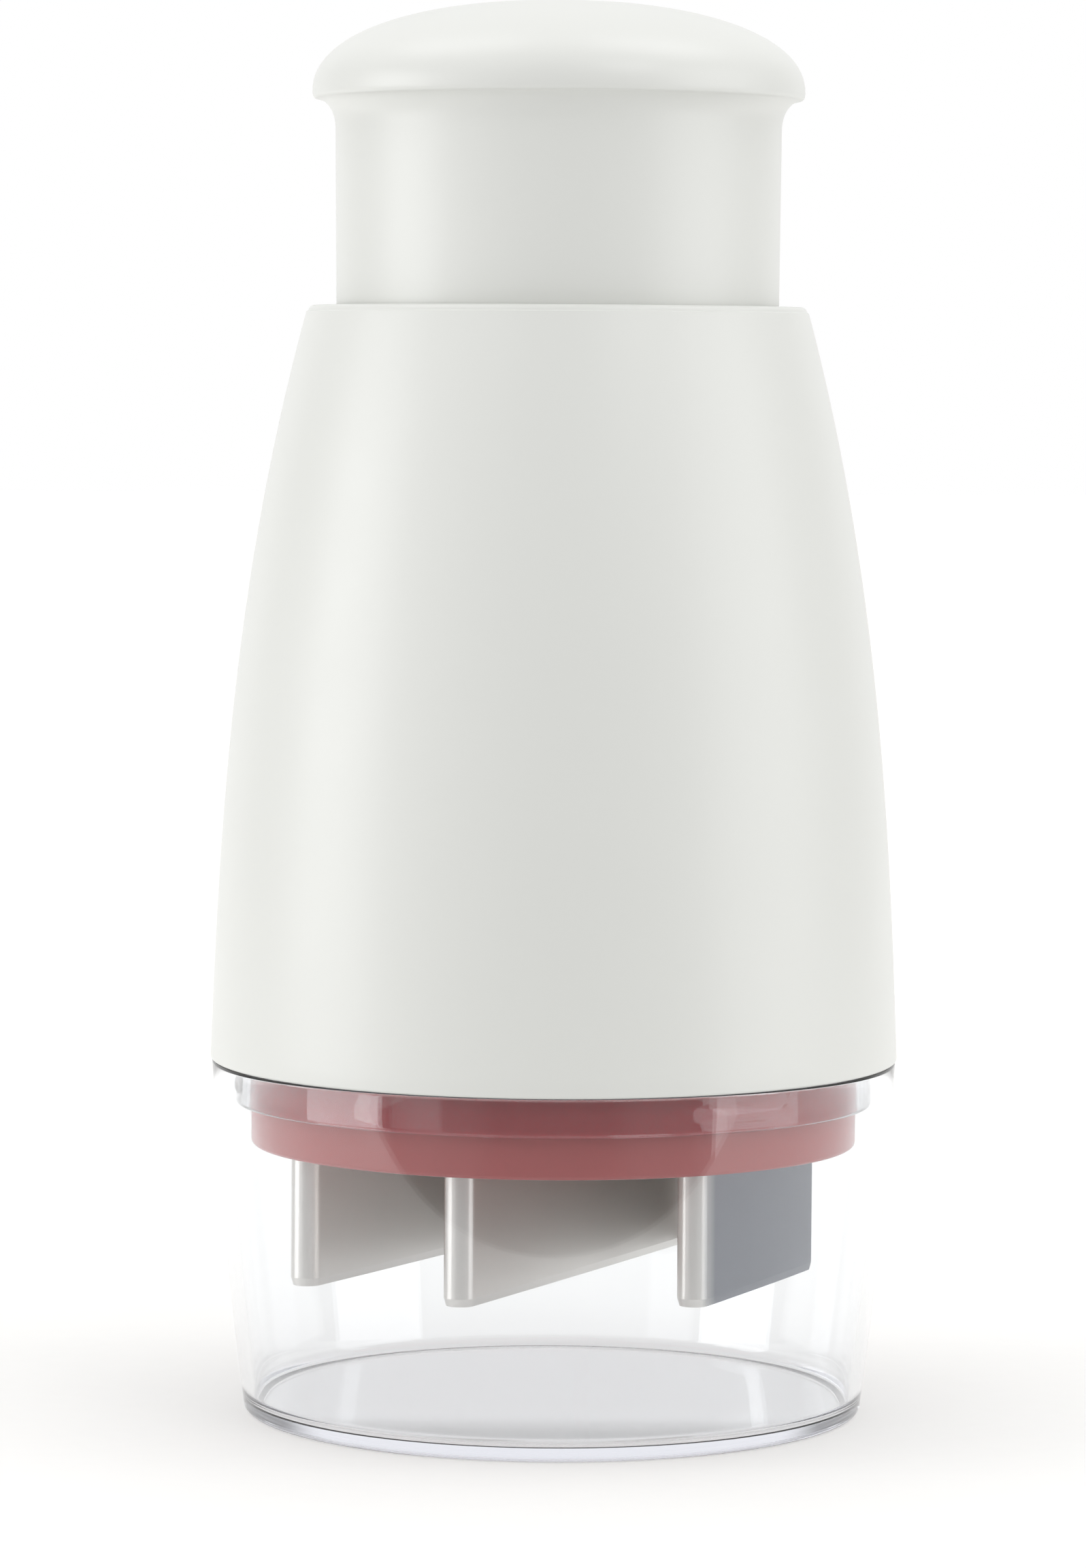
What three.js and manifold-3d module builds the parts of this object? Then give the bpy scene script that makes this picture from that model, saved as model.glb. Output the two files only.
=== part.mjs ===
// Hand-press food chopper: a clear cup, a bell housing, a sprung press knob and a zigzag blade.
// Millimetres, +Z up, origin on the table under the middle of the cup, front towards -Y.
import * as THREE from 'three';
import { mergeVertices } from 'three/addons/utils/BufferGeometryUtils.js';
import Module from 'manifold-3d';

const wasm = await Module();
wasm.setup();

// Clearances shared by all pieces
const seat = 0.3;
const runClear = 0.4;
const toothClear = 0.5;
const overrun = 1;

// Clear cup
const cupHeight = 53.7;
const cupRimRadius = 52.25;
const cupFootShare = 0.9033;
const cupBulge = 2.16;
const cupWall = 2;
const cupFloor = 2.2;
const cupFootRound = 1.3;
const cupRimRound = 0.5;
const cupInnerRound = 3;
const footRecess = 0.4;
const footRingWidth = 3.4;

// Bell housing
const seamGap = 0.3;
const seamStep = 0.2;
const housingHeight = 114.4;
const housingRimWidth = 3.75;
const housingTaper = 4.4;
const bellPower = 2.65;
const housingWall = 2.3;
const housingEdge = 0.4;
const rimRound = 1;
const rimChamfer = 0.5;
const guideCollarWall = 2;
const guideCollarDepth = 18;
const guideCollarRoot = 9;

// Clear collar ring under the housing
const spigotClear = 1.65;
const collarRingWall = 2;
const collarRingDrop = 6.15;
const collarRingRise = 5.5;
const collarFlange = 2.5;
const collarEdge = 0.5;

// Wiper disc
const wiperDrop = 6.4;
const wiperFloor = 2.5;
const wiperWall = 2;
const wiperRound = 0.6;
const wiperFlange = 1.8;
const wiperFlangeWidth = 1.8;
const slotClear = 0.5;

// Stepped ledge and snap lugs inside the housing
const ledgeThick = 2;
const ledgeCover = 1;
const lugHeight = 1.5;
const lugCount = 3;
const lugHalfSpan = 6;

// Zigzag blade
const strokeShare = 0.16;
const bladeThick = 0.8;
const bladeBend = 2.05;
const bladeReachShare = 0.8485;
const grindHeight = 1.2;
const edgeThick = 0.12;
const floorGap = 0.5;

// Blade carrier
const carrierGap = 2;
const ribHeight = 5;
const ribShare = 0.9;
const carrierPlate = 4;
const carrierClear = 1.2;
const carrierLip = 2;
const carrierLipHeight = 2.4;
const grooveClear = 0.3;

// Rotor hub screwed on top of the blade carrier
const hubPlate = 4;
const hubRecessDepth = 2.6;
const neckRadius = 8.5;
const hexRadius = 7.1;
const hubEdge = 3.5;
const hubScrewClear = 1.5;
const hubScrewCount = 4;

// Ratchet wheel and crowns
const toothCount = 12;
const toothHeight = 2.4;
const toothRiseShare = 0.8;
const halfPitchShare = 0.5;
const crownInner = 9.6;
const crownOuter = 15.8;
const crownBody = 3.2;
const wheelBody = 6;
const cageGap = 1;
const postWall = 4;
const postHalfSpan = 13;
const postCount = 3;
const crownFlange = 2;

// Bridge plate and guide tube
const bridgeThick = 2.7;
const tubeHeight = 18;
const tubeWall = 3.6;
const windowRadius = 4.5;
const windowCount = 6;
const bossRadius = 4;
const bossHeight = 14;
const bossSink = 1;
const bossCount = 3;
const bossRib = 1.8;

// Screws
const screwRadius = 1.5;
const screwHeadRadius = 2.8;
const screwHeadHeight = 2;
const screwLength = 10;

// Shaft and what is threaded on it
const shaftRadius = 4;
const shaftFlangeRadius = 7;
const shaftFlangeHeight = 1.8;
const washerThick = 0.8;
const endScrewRadius = 2;
const endScrewDepth = 10;
const endHeadRadius = 4;
const endHeadHeight = 2.6;
const insertWall = 2.4;
const insertHeight = 17;
const lockNutRadius = 7.6;
const lockNutHeight = 3.8;

// Press knob
const lipHeight = 31.8;
const lipOverhang = 3.5;
const domeRise = 14.1;
const domePower = 2.2;
const lipDepth = 1;
const lipRound = 0.5;
const filletRadius = 3;
const sleeveShare = 0.6435;
const sleeveDraft = 0.42;
const sleeveWall = 2.4;
const domeWall = 2.8;
const rimClear = 0.35;
const bossWall = 2;
const shoulderRadius = 14;
const shoulderDrop = 15.3;
const knobRibCount = 6;
const knobRib = 1.6;
const knobRibDrop = 12;
const knobRibSink = 0.8;

// Return spring, its seats and the bumper
const springRadius = 12;
const wireRadius = 0.8;
const springCurls = 11;
const closedGap = 0.5;
const springWasherRadius = 14.5;
const springCupThick = 1.4;
const springCupRim = 4;
const springCupWall = 1;
const bumperHeight = 3.3;
const bumperWidth = 3;

// Smoothness of round forms
const roundSteps = 36;
const smallSteps = 16;
const screwSteps = 8;
const bellSteps = 8;
const innerSteps = 4;
const domeSteps = 7;
const cornerSteps = 3;
const bendSteps = 6;
const curlSteps = 8;
const wireSides = 5;
const arcSteps = 3;
const chamferSteps = 1;
const rimSteps = 2;
const filletSteps = 4;
const hexSides = 6;
const bottomSide = 3;

// Angles
const quarterTurn = Math.PI / 2;
const fullTurn = 2 * Math.PI;
const degree = Math.PI / 180;
const circleDegrees = 360;
const outwards = 0;
const upwards = 90;
const downwards = -90;
const cupRimFrom = 45;
const cupFloorFrom = -30;
const bellRimFrom = 30;
const postStart = 60;
const lugStart = 60;
const windowStart = 30;

// Heights worked out from the table upwards
const housingBottom = cupHeight + seamGap;
const rimTop = housingBottom + housingHeight;
const collarBottom = housingBottom - collarRingDrop;
const collarTop = housingBottom + collarRingRise;
const wiperBottom = collarBottom - wiperDrop;
const wiperFloorTop = wiperBottom + wiperFloor;
const wiperFlangeBottom = collarTop + seat;
const wiperTop = wiperFlangeBottom + wiperFlange;
const ledgeUnder = wiperTop + seat;
const stroke = housingHeight * strokeShare;
const bladeEdge = cupFloor + floorGap + stroke;
const ribBottom = wiperFloorTop + stroke + carrierGap;
const plateBottom = ribBottom + ribHeight;
const plateTop = plateBottom + carrierPlate;
const bladeTop = plateBottom;
const hubBottom = plateTop + seat;
const hubTop = hubBottom + hubPlate;
const hubRecess = hubBottom + hubRecessDepth;
const endWasherTop = hubRecess - seat;
const endHeadTop = endWasherTop - washerThick - seat;
const endHeadBottom = endHeadTop - endHeadHeight;
const cageBottom = hubTop + cageGap;
const lowerValley = cageBottom + crownBody;
const wheelLow = lowerValley + toothHeight + toothClear + stroke;
const wheelTop = wheelLow + wheelBody;
const crownSeat = wheelTop + toothHeight + toothClear;
const crownTop = crownSeat + crownBody;
const bridgeBottom = crownTop + seat;
const bridgeTop = bridgeBottom + bridgeThick;
const tubeTop = bridgeTop + tubeHeight;
const postTop = crownTop - crownFlange - seat;
const bumperTop = bridgeTop + seat + bumperHeight;
const sleeveBottom = bumperTop + stroke + runClear;
const lipLevel = rimTop + lipHeight;
const domeTop = lipLevel + domeRise;
const shoulderLevel = domeTop - domeWall - shoulderDrop;

// Radii worked out from the cup's rim inwards
const cupFootRadius = cupRimRadius * cupFootShare;
const housingFootRadius = cupRimRadius + seamStep;
const sleeveRadius = housingFootRadius * sleeveShare;
const boreRadius = sleeveRadius + rimClear;
const housingRimRadius = boreRadius + housingRimWidth;
const domeRadius = sleeveRadius + lipOverhang;
const collarRingRadius = cupRimRadius - cupWall - spigotClear;
const collarInner = collarRingRadius - collarRingWall;
const wiperRadius = collarInner - runClear;
const wiperFlangeRadius = wiperRadius + wiperFlangeWidth;
const bladeReach = wiperRadius * bladeReachShare;
const carrierRadius = wiperRadius - wiperWall - carrierClear;
const shaftBore = shaftRadius + runClear;
const tubeRadius = shaftBore + tubeWall;
const cageRadius = crownOuter + runClear + postWall;
const postMiddle = cageRadius - postWall / 2;
const hubScrewDistance = cageRadius + screwHeadRadius + hubScrewClear;
const hubRadius = hubScrewDistance + hubEdge;
const screwBore = screwRadius + seat;
const bumperInner = sleeveRadius - sleeveDraft - sleeveWall / 2 - bumperWidth / 2;

// Plan places of the blade's bends as shares of its reach, front bends and back bends in turn
const bendShares = [
  [-0.935, -0.36],
  [-0.18, 0.74],
  [-0.342, -0.839],
  [0.566, 0.69],
  [0.528, -0.809],
];
const leftEndShare = [-0.932, 0.36];
const rightEndShare = [1.01, 0.064];

// Radius of the bell's outside at a height
function bellRadius(height) {
  const rise = (height - housingBottom) / housingHeight;
  const shoulder = housingFootRadius - housingRimRadius - housingTaper;
  return housingFootRadius - housingTaper * rise - shoulder * Math.max(rise, 0) ** bellPower;
}

// Radius of the bell's inside at a height
function bellInner(height) {
  return bellRadius(height) - housingWall;
}

// Radius of the cup's outside at a height
function cupRadius(height) {
  const rise = height / cupHeight;
  return cupFootRadius + (cupRimRadius - cupFootRadius) * rise + cupBulge * rise * (1 - rise);
}

// Radius of the tapered sleeve at a height
function sleeveAt(height) {
  const fall = (lipLevel - height) / (lipLevel - sleeveBottom);
  return sleeveRadius - sleeveDraft * fall;
}

// A profile point: radius from the axis, height above the table
function at(radius, height) {
  return new THREE.Vector2(radius, height);
}

// Profile points on a round or elliptic corner
function corner(radius, height, reach, rise, from, to, steps = cornerSteps) {
  return Array.from({ length: steps + 1 }, (_, i) => {
    const angle = (from + (to - from) * i / steps) * degree;
    return at(radius + reach * Math.cos(angle), height + rise * Math.sin(angle));
  });
}

// Profile points along a radius that is a formula of height
function along(radiusAt, from, to, steps) {
  return Array.from({ length: steps + 1 }, (_, i) => {
    const height = from + (to - from) * i / steps;
    return at(radiusAt(height), height);
  });
}

// Profile points on the knob's dome, from its top to its widest place
function dome(reach, rise) {
  return Array.from({ length: domeSteps + 1 }, (_, i) => {
    const angle = quarterTurn * i / domeSteps;
    const [x, y] = [Math.sin(angle) ** (2 / domePower), Math.cos(angle) ** (2 / domePower)];
    return at(reach * x, lipLevel + rise * y);
  });
}

// A profile turned round the Z axis
function turned(profile, steps = roundSteps) {
  const outward = THREE.ShapeUtils.area(profile) < 0 ? [...profile].reverse() : profile;
  return new THREE.LatheGeometry(outward, steps).rotateX(quarterTurn);
}

// A plain ring or, without an inner radius, a disc
function ring(inner, outer, low, high, steps = smallSteps) {
  const outline = [at(inner, low), at(outer, low), at(outer, high), at(inner, high)];
  return turned(inner > 0 ? [...outline, at(inner, low)] : outline, steps);
}

// An upright bar with a regular section
function bar(radius, low, high, sides = screwSteps) {
  const geometry = new THREE.CylinderGeometry(radius, radius, high - low, sides);
  return geometry.rotateX(quarterTurn).translate(0, 0, (low + high) / 2);
}

// A block between two radii, two heights and two angles
function arcBlock(inner, outer, low, high, middle, halfSpan) {
  const from = (middle - halfSpan) * degree;
  const to = (middle + halfSpan) * degree;
  const outline = new THREE.Shape();
  outline.absarc(0, 0, outer, from, to, false);
  outline.absarc(0, 0, inner, to, from, true);
  const options = { depth: high - low, bevelEnabled: false, curveSegments: arcSteps };
  return new THREE.ExtrudeGeometry(outline, options).translate(0, 0, low);
}

// A closed geometry as a solid that can be joined and cut
function solid(geometry) {
  const bare = geometry.clone();
  bare.deleteAttribute('normal');
  bare.deleteAttribute('uv');
  const merged = mergeVertices(bare);
  const index = merged.index.array;
  const faces = [];
  for (let i = 0; i < index.length; i += 3) {
    const [a, b, c] = [index[i], index[i + 1], index[i + 2]];
    if (a !== b && b !== c && c !== a) faces.push(a, b, c);
  }
  const vertProperties = new Float32Array(merged.attributes.position.array);
  const triVerts = new Uint32Array(faces);
  return new wasm.Manifold(new wasm.Mesh({ numProp: 3, vertProperties, triVerts }));
}

// A solid as a geometry again
function skin(body) {
  const { vertProperties, triVerts } = body.getMesh();
  const geometry = new THREE.BufferGeometry();
  geometry.setAttribute('position', new THREE.BufferAttribute(new Float32Array(vertProperties), 3));
  geometry.setIndex(new THREE.BufferAttribute(new Uint32Array(triVerts), 1));
  geometry.computeVertexNormals();
  return geometry;
}

// Several solids joined into one
function joined(...parts) {
  return parts.reduce((sum, part) => sum.add(part));
}

// A solid cut by each of several others
function cut(body, ...cutters) {
  return cutters.reduce((rest, cutter) => rest.subtract(cutter), body);
}

// The same solid set at equal angles round the axis
function around(count, make, start = 0) {
  return Array.from({ length: count }, (_, i) => make(start + circleDegrees * i / count));
}

// An upright bar set out from the axis at an angle
function outBar(distance, angle, radius, low, high) {
  const [x, y] = [distance * Math.cos(angle * degree), distance * Math.sin(angle * degree)];
  return solid(bar(radius, low, high).translate(x, y, 0));
}

// A named mesh with its own material
function piece(name, geometry, colour, roughness, metalness = 0) {
  const material = new THREE.MeshStandardMaterial({ color: colour, roughness, metalness });
  const mesh = new THREE.Mesh(geometry, material);
  mesh.name = name;
  return mesh;
}

// Closed geometry from rings of points, with the side whose quads split along the other diagonal
function lofted(rings, closed, swapped = -1) {
  const sides = rings[0].length;
  const count = rings.length;
  const faces = [];
  for (let i = 0; i < (closed ? count : count - 1); i += 1) {
    for (let k = 0; k < sides; k += 1) {
      const [a, b] = [i * sides + k, i * sides + (k + 1) % sides];
      const [c, d] = [(i + 1) % count * sides + k, (i + 1) % count * sides + (k + 1) % sides];
      faces.push(...(k === swapped ? [a, b, c, b, d, c] : [a, b, d, a, d, c]));
    }
  }
  if (!closed) {
    const last = (count - 1) * sides;
    for (let k = 1; k < sides - 1; k += 1) faces.push(0, k + 1, k, last, last + k, last + k + 1);
  }
  const geometry = new THREE.BufferGeometry();
  const places = rings.flat().flatMap((p) => [p.x, p.y, p.z]);
  geometry.setAttribute('position', new THREE.Float32BufferAttribute(places, 3));
  geometry.setIndex(faces);
  geometry.computeVertexNormals();
  return geometry;
}

// Heading of the straight leg between two bends, each passed on its own side
function legHeading(a, b) {
  const [dx, dy] = [b.x - a.x, b.y - a.y];
  return Math.atan2(dy, dx) - Math.asin((b.side * b.radius - a.side * a.radius) / Math.hypot(dx, dy));
}

// Stations along the zigzag: place and left-hand normal, with the two ends run on by a length
function zigzag(runOn) {
  const bends = bendShares.map(([x, y], i) => (
    { x: x * bladeReach, y: y * bladeReach, side: i % 2 === 0 ? 1 : -1, radius: bladeBend }
  ));
  const ends = [leftEndShare, rightEndShare].map(([x, y]) => (
    { x: x * bladeReach, y: y * bladeReach, side: 1, radius: 0 }
  ));
  const stops = [ends[0], ...bends, ends[1]];
  const stations = [];
  const add = (stop, heading, shift = 0) => {
    const [nx, ny] = [-Math.sin(heading), Math.cos(heading)];
    const x = stop.x - stop.side * stop.radius * nx + shift * ny;
    const y = stop.y - stop.side * stop.radius * ny - shift * nx;
    stations.push({ x, y, nx, ny });
  };
  let heading = legHeading(stops[0], stops[1]);
  add(stops[0], heading, -runOn);
  for (let i = 1; i < stops.length - 1; i += 1) {
    const next = legHeading(stops[i], stops[i + 1]);
    let turn = next - heading;
    if (stops[i].side * turn < 0) turn += stops[i].side * fullTurn;
    for (let k = 0; k <= bendSteps; k += 1) add(stops[i], heading + turn * k / bendSteps);
    heading = next;
  }
  add(stops[stops.length - 1], heading, runOn);
  return stations;
}

// A strip that follows the zigzag with a section of offsets and heights
function strip(section, runOn) {
  return lofted(zigzag(runOn).map(({ x, y, nx, ny }) => (
    section.map(([offset, z]) => new THREE.Vector3(x + nx * offset, y + ny * offset, z))
  )), false);
}

// An upright slab of even thickness that follows the zigzag
function slab(half, low, high, runOn) {
  return strip([[-half, low], [half, low], [half, high], [-half, high]], runOn);
}

// Height of a saw tooth at a share of its pitch
function toothAt(share) {
  const place = share - Math.floor(share);
  const rising = place / toothRiseShare;
  const falling = (1 - place) / (1 - toothRiseShare);
  return toothHeight * Math.min(rising, falling);
}

// A ring with saw teeth on its top, its bottom or both, as formulas of the share of a pitch.
// Top and bottom quads split alike, so that facing teeth keep an even gap.
function sawRing(inner, outer, lowAt, highAt, offset = 0) {
  const marks = [0, toothRiseShare / 2, toothRiseShare];
  const shares = Array.from({ length: toothCount }, (_, i) => marks.map((mark) => i + mark)).flat();
  return lofted(shares.map((share) => {
    const angle = (share + offset) / toothCount * fullTurn;
    const point = (radius, z) => (
      new THREE.Vector3(radius * Math.cos(angle), radius * Math.sin(angle), z)
    );
    const [low, high] = [lowAt(share), highAt(share)];
    return [point(inner, low), point(inner, high), point(outer, high), point(outer, low)];
  }), true, bottomSide);
}

// Clear cup: one moulding with a foot ring, a bowed wall and a rounded rim
function clearCup() {
  const footInner = cupRadius(0) - footRingWidth;
  const wallInner = (height) => cupRadius(height) - cupWall;
  const footMiddle = cupRadius(cupFootRound) - cupFootRound;
  const rimMiddle = cupRadius(cupHeight) - cupRimRound;
  const rimLevel = cupHeight - cupRimRound;
  const floorLevel = cupFloor + cupInnerRound;
  const floorMiddle = wallInner(floorLevel) - cupInnerRound;
  return turned([
    at(0, footRecess),
    at(footInner, footRecess),
    at(footInner + footRecess, 0),
    ...corner(footMiddle, cupFootRound, cupFootRound, cupFootRound, downwards, outwards),
    ...along(cupRadius, cupFootRound, rimLevel, innerSteps).slice(1),
    ...corner(rimMiddle, rimLevel, cupRimRound, cupRimRound, cupRimFrom, upwards, chamferSteps),
    at(wallInner(cupHeight), cupHeight),
    ...along(wallInner, cupHeight, floorLevel, innerSteps).slice(1),
    ...corner(floorMiddle, floorLevel, cupInnerRound, cupInnerRound, cupFloorFrom, downwards),
    at(0, cupFloor),
  ]);
}

// Boss and rib on the housing's inner wall for a bridge screw
function bridgeBoss(angle, distance) {
  const low = bridgeTop + seat;
  const reach = bellRadius(low) - distance;
  const rib = new THREE.BoxGeometry(reach, bossRib, bossHeight)
    .translate(distance + reach / 2, 0, low + bossHeight / 2)
    .rotateZ(angle * degree);
  return joined(outBar(distance, angle, bossRadius, low, low + bossHeight), solid(rib));
}

// Distance of the bridge screws from the axis
function bossDistance() {
  return bellInner(bridgeTop + seat + bossHeight) - bossRadius + bossSink;
}

// Bell housing: outer shell, guide collar for the sleeve, stepped ledge, bosses and snap lugs
function housingShell() {
  const ledgeTop = ledgeUnder + ledgeThick;
  const ledgeInner = wiperFlangeRadius - ledgeCover;
  const recess = wiperFlangeRadius + runClear;
  const seatLevel = collarTop + seat;
  const rim = bellRadius(rimTop);
  const rootLevel = rimTop - guideCollarRoot;
  const shell = solid(turned([
    at(bellInner(housingBottom), housingBottom),
    at(bellRadius(housingBottom) - housingEdge, housingBottom),
    ...along(bellRadius, housingBottom + housingEdge, rimTop - rimRound, bellSteps),
    ...corner(rim - rimRound, rimTop - rimRound, rimRound, rimRound, bellRimFrom, upwards, rimSteps),
    at(boreRadius + rimChamfer, rimTop),
    at(boreRadius, rimTop - rimChamfer),
    at(boreRadius, rimTop - guideCollarDepth),
    at(boreRadius + guideCollarWall, rimTop - guideCollarDepth),
    at(boreRadius + guideCollarWall, rootLevel),
    ...along(bellInner, rootLevel, ledgeTop, innerSteps),
    at(ledgeInner, ledgeTop),
    at(ledgeInner, ledgeUnder),
    at(recess, ledgeUnder),
    at(recess, seatLevel),
    at(bellInner(seatLevel), seatLevel),
    at(bellInner(housingBottom), housingBottom),
  ]));
  const envelope = solid(turned([
    at(0, housingBottom),
    ...along((height) => bellRadius(height) - housingWall / 2, housingBottom, rimTop, innerSteps),
    at(0, rimTop),
  ]));
  const distance = bossDistance();
  const bosses = joined(...around(bossCount, (angle) => bridgeBoss(angle, distance)));
  const holes = around(bossCount, (angle) => (
    outBar(distance, angle, screwBore, bridgeTop, bridgeTop + seat + screwLength)
  ));
  const lugTop = collarTop - collarFlange - seat;
  const lugOuter = bellInner(lugTop) + housingWall / 2;
  const lugs = around(lugCount, (angle) => solid(
    arcBlock(collarRingRadius + seat, lugOuter, lugTop - lugHeight, lugTop, angle, lugHalfSpan),
  ), lugStart);
  return skin(cut(joined(shell, bosses.intersect(envelope), ...lugs), ...holes));
}

// Clear collar ring: the spigot that the cup slips over and the shelf that the wiper turns on
function clearCollar() {
  const flangeRadius = bellInner(collarTop) - seat;
  const flangeBottom = collarTop - collarFlange;
  return turned([
    at(collarInner, collarTop),
    at(collarInner, collarBottom + collarEdge),
    at(collarInner + collarEdge, collarBottom),
    at(collarRingRadius - collarEdge, collarBottom),
    at(collarRingRadius, collarBottom + collarEdge),
    at(collarRingRadius, flangeBottom),
    at(flangeRadius, flangeBottom),
    at(flangeRadius, collarTop),
    at(collarInner, collarTop),
  ]);
}

// Wiper: a shallow dish that hangs on the collar ring by its flange, with the zigzag slot
function wiperDisc() {
  const dishInner = wiperRadius - wiperWall;
  const cornerLevel = wiperBottom + wiperRound;
  const dish = solid(turned([
    at(0, wiperBottom),
    ...corner(wiperRadius - wiperRound, cornerLevel, wiperRound, wiperRound, downwards, outwards),
    at(wiperRadius, wiperFlangeBottom),
    at(wiperFlangeRadius, wiperFlangeBottom),
    at(wiperFlangeRadius, wiperTop),
    at(dishInner, wiperTop),
    at(dishInner, wiperFloorTop + wiperWall / 2),
    at(dishInner - wiperWall / 2, wiperFloorTop),
    at(0, wiperFloorTop),
  ]));
  const half = bladeThick / 2 + slotClear;
  return skin(cut(dish, solid(slab(half, wiperBottom - overrun, wiperFloorTop + overrun, slotClear))));
}

// Zigzag blade: one stainless strip with a ground lower edge
function bladeStrip() {
  const half = bladeThick / 2;
  const edge = edgeThick / 2;
  const ground = bladeEdge + grindHeight;
  return strip([
    [-edge, bladeEdge],
    [edge, bladeEdge],
    [half, ground],
    [half, bladeTop],
    [-half, bladeTop],
    [-half, ground],
  ], 0);
}

// Blade carrier: lipped plate with the zigzag rib that grips the strip
function bladeCarrier() {
  const half = bladeBend * ribShare;
  const groove = bladeThick / 2 + grooveClear;
  const plate = solid(turned([
    at(0, plateBottom),
    at(carrierRadius, plateBottom),
    at(carrierRadius, plateTop + carrierLipHeight),
    at(carrierRadius - carrierLip, plateTop + carrierLipHeight),
    at(carrierRadius - carrierLip, plateTop),
    at(0, plateTop),
  ]));
  const rib = solid(slab(half, ribBottom, plateBottom + carrierPlate / 2, half - bladeThick / 2));
  const pocket = bar(endHeadRadius + seat, endHeadBottom - seat, plateTop + overrun, smallSteps);
  const holes = around(hubScrewCount, (angle) => (
    outBar(hubScrewDistance, angle, screwBore, hubScrewEnd() - seat, plateTop + overrun)
  ));
  return skin(cut(
    joined(plate, rib),
    solid(slab(groove, ribBottom - overrun, bladeTop + grooveClear, grooveClear)),
    solid(pocket),
    ...holes,
  ));
}

// Lower end of the hub screws, clear of the blade's upper edge
function hubScrewEnd() {
  return bladeTop + grooveClear + seat + seat;
}

// Rotor hub: flange on the blade carrier and a hollow neck that ends in a hexagon
function rotorHub() {
  const flange = solid(bar(hubRadius, hubBottom, hubTop, roundSteps));
  const neck = solid(bar(neckRadius, hubTop - overrun, wheelLow - seat, smallSteps));
  const hexagon = solid(bar(hexRadius, wheelLow - neckRadius, wheelTop - seat, hexSides));
  const holes = around(hubScrewCount, (angle) => (
    outBar(hubScrewDistance, angle, screwBore, hubBottom - overrun, hubTop + overrun)
  ));
  return skin(cut(
    joined(flange, neck, hexagon),
    solid(bar(shaftBore, hubBottom - overrun, wheelTop + overrun, smallSteps)),
    solid(bar(shaftFlangeRadius + seat, hubBottom - overrun, hubRecess, smallSteps)),
    ...holes,
  ));
}

// Ratchet wheel: saw teeth up and down, with a hexagon bore that sits on the hub's neck
function ratchetWheel() {
  const toothed = solid(sawRing(
    crownInner,
    crownOuter,
    (share) => wheelLow - toothAt(share),
    (share) => wheelTop + toothAt(share),
  ));
  const hub = solid(bar(crownInner + overrun, wheelLow, wheelTop, smallSteps));
  const bore = solid(bar(hexRadius + seat, wheelLow - overrun, wheelTop + overrun, hexSides));
  return skin(cut(joined(toothed, hub), bore));
}

// Upper crown: saw teeth facing down, with a flange clamped under the bridge plate
function upperCrown() {
  const toothed = solid(sawRing(
    crownInner,
    crownOuter,
    (share) => wheelTop + toothClear + toothAt(share),
    () => crownTop,
  ));
  const flange = solid(ring(crownOuter - overrun, cageRadius, crownTop - crownFlange, crownTop));
  const holes = around(postCount, (angle) => (
    outBar(postMiddle, angle, screwBore, postTop, crownTop + overrun)
  ), postStart);
  return skin(cut(joined(toothed, flange), ...holes));
}

// Index cage: lower crown with teeth facing up, hung on three posts under the bridge plate
function indexCage() {
  const toothed = solid(sawRing(
    crownInner,
    crownOuter,
    () => cageBottom,
    (share) => lowerValley + toothHeight - toothAt(share),
    halfPitchShare,
  ));
  const base = solid(ring(crownOuter - overrun, cageRadius, cageBottom, lowerValley));
  const posts = around(postCount, (angle) => solid(
    arcBlock(cageRadius - postWall, cageRadius, lowerValley - overrun, postTop, angle, postHalfSpan),
  ), postStart);
  const holes = around(postCount, (angle) => (
    outBar(postMiddle, angle, screwBore, bridgeTop - screwLength - seat, postTop + overrun)
  ), postStart);
  return skin(cut(joined(toothed, base, ...posts), ...holes));
}

// Bridge plate: the guide tube's plate, screwed up against the housing's bosses
function bridgePlate() {
  const radius = bellInner(bridgeTop) - seat;
  const plate = solid(turned([
    at(shaftBore, bridgeBottom),
    at(radius, bridgeBottom),
    at(radius, bridgeTop),
    at(tubeRadius, bridgeTop),
    at(tubeRadius, tubeTop - rimChamfer),
    at(tubeRadius - rimChamfer, tubeTop),
    at(shaftBore, tubeTop),
    at(shaftBore, bridgeBottom),
  ]));
  const windowDistance = (cageRadius + bumperInner) / 2;
  const windows = around(windowCount, (angle) => (
    outBar(windowDistance, angle, windowRadius, bridgeBottom - overrun, bridgeTop + overrun)
  ), windowStart);
  const wallHoles = around(bossCount, (angle) => (
    outBar(bossDistance(), angle, screwBore, bridgeBottom - overrun, bridgeTop + overrun)
  ));
  const postHoles = around(postCount, (angle) => (
    outBar(postMiddle, angle, screwBore, bridgeBottom - overrun, bridgeTop + overrun)
  ), postStart);
  return skin(cut(plate, ...windows, ...wallHoles, ...postHoles));
}

// A pan-head screw with its head's seating face at a level, pointing up or down
function screw(distance, angle, level, up, length = screwLength) {
  const way = up ? 1 : -1;
  const heights = (from, to) => [Math.min(from, to), Math.max(from, to)];
  const head = heights(level, level - way * screwHeadHeight);
  const shank = heights(level - way * screwHeadHeight / 2, level + way * length);
  return joined(
    outBar(distance, angle, screwHeadRadius, ...head),
    outBar(distance, angle, screwRadius, ...shank),
  );
}

// Screws from below that hold the bridge plate to the housing's bosses
function bridgeScrews() {
  return around(bossCount, (angle) => skin(screw(bossDistance(), angle, bridgeBottom - seat, true)));
}

// Screws from above that clamp the upper crown and the cage to the bridge plate
function cageScrews() {
  return around(postCount, (angle) => skin(screw(postMiddle, angle, bridgeTop + seat, false)), postStart);
}

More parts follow.
